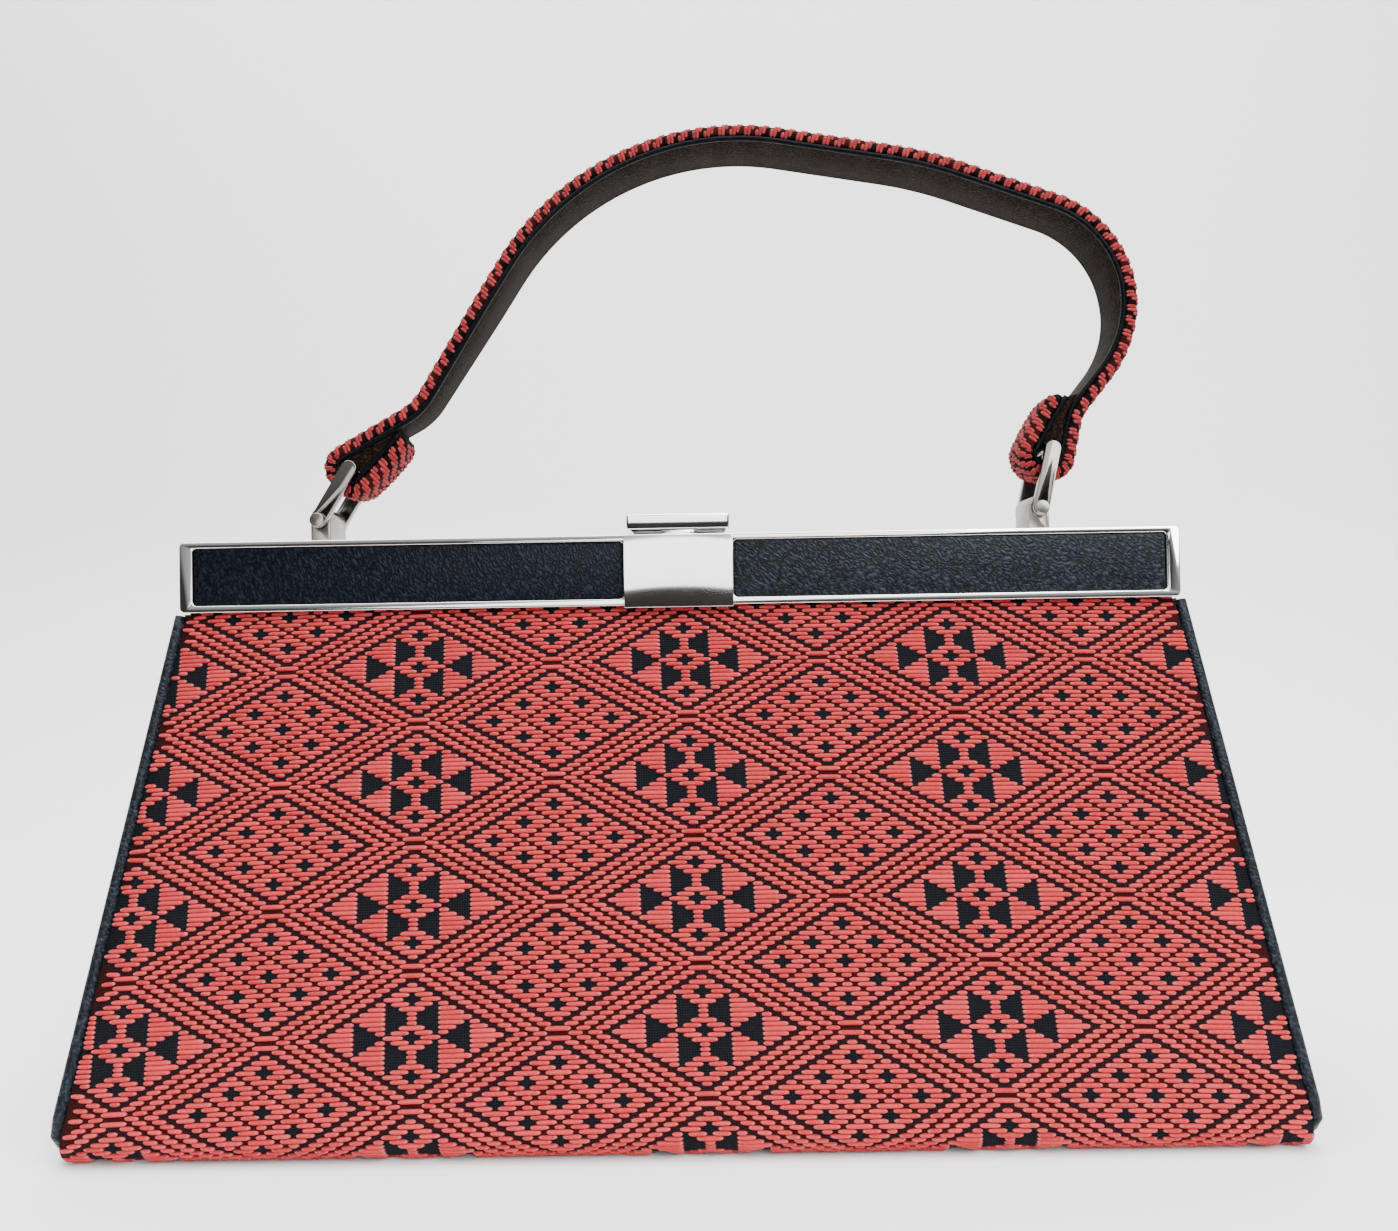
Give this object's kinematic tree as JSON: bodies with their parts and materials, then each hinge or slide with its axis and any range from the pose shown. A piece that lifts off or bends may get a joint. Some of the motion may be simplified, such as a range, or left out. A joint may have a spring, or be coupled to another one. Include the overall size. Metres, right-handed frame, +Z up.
{
  "type": "framed handbag",
  "caption": "Framed handbag in counted-stitch cloth: trapezoid body on a hinged metal frame with leather inlays, a lift clasp and a strap handle folded round swinging links.",
  "frame": {"origin": "middle of the base, on the surface that the bag stands on", "axes": "+X along the bag's length to the right of someone facing the front, +Y from front to rear, +Z up"},
  "size_m": [0.29, 0.0982, 0.2594],
  "materials": {
    "ground_cloth": "near-black woven ground cloth on a stiff backing",
    "stitch_yarn": "plump coral yarn in counted rows",
    "strap_cloth": "the same stitched cloth, narrow",
    "dark_leather": "fine-grained navy-black leather",
    "brown_leather": "smooth brown-black leather",
    "lining_cloth": "thin dark lining cloth",
    "bright_metal": "bright plated metal",
    "plain_steel": "plain spring steel"
  },
  "bodies": {
    "bag": {"body_cover": "ground_cloth", "front_stitching": "stitch_yarn", "rear_stitching": "stitch_yarn", "piping_left": "dark_leather", "piping_right": "dark_leather", "gusset_left": "dark_leather", "gusset_right": "dark_leather", "lining": "lining_cloth", "rear_frame": "bright_metal", "rear_inlay": "dark_leather", "rear_arm_left": "plain_steel", "rear_arm_right": "plain_steel", "hinge_rivet_left": "plain_steel", "hinge_rivet_right": "plain_steel", "handle_lug_left": "bright_metal", "handle_lug_right": "bright_metal", "link_rivet_left": "bright_metal", "link_rivet_right": "bright_metal", "clasp_bracket": "bright_metal", "clasp_pin": "plain_steel", "clasp_spring": "plain_steel"},
    "front_frame": {"front_frame": "bright_metal", "inlay_left": "dark_leather", "inlay_right": "dark_leather", "clasp_plate": "bright_metal", "catch_tongue": "bright_metal", "front_arm_left": "plain_steel", "front_arm_right": "plain_steel"},
    "clasp_lever": {"clasp_lever": "bright_metal"},
    "left_link": {"link_left": "bright_metal"},
    "right_link": {"link_right": "bright_metal"},
    "strap": {"strap_cover": "strap_cloth", "strap_lining": "brown_leather"}
  },
  "joints": [
    {"name": "front_frame_open", "type": "hinge", "parent": "bag", "child": "front_frame", "pos_m": [0, 0, 0.0868], "axis": [1, 0, 0], "range_deg": [0, 32], "deforming": ["body_cover", "front_stitching", "piping_left", "piping_right", "gusset_left", "gusset_right", "lining"]},
    {"name": "clasp_lift", "type": "hinge", "parent": "bag", "child": "clasp_lever", "pos_m": [0, 0.007, 0.1479], "axis": [-1, 0, 0], "range_deg": [0, 35], "stiffness_Nm_per_rad": 0.05, "springref_deg": -17.19, "deforming": ["clasp_spring"]},
    {"name": "left_link_swing", "type": "hinge", "parent": "bag", "child": "left_link", "pos_m": [-0.0985, 0.0085, 0.152], "axis": [0, 1, 0], "range_deg": [-60, 12]},
    {"name": "right_link_swing", "type": "hinge", "parent": "bag", "child": "right_link", "pos_m": [0.0985, 0.0085, 0.152], "axis": [0, 1, 0], "range_deg": [-63, 13]},
    {"name": "strap_turn", "type": "hinge", "parent": "left_link", "child": "strap", "pos_m": [-0.0899, 0.0085, 0.16608], "axis": [0, 1, 0], "range_deg": [-13, 63]}
  ],
  "couplings": [
    {"joint": "right_link_swing", "follows": "left_link_swing", "ratio": 1.03},
    {"joint": "strap_turn", "follows": "left_link_swing", "ratio": -1.03}
  ]
}
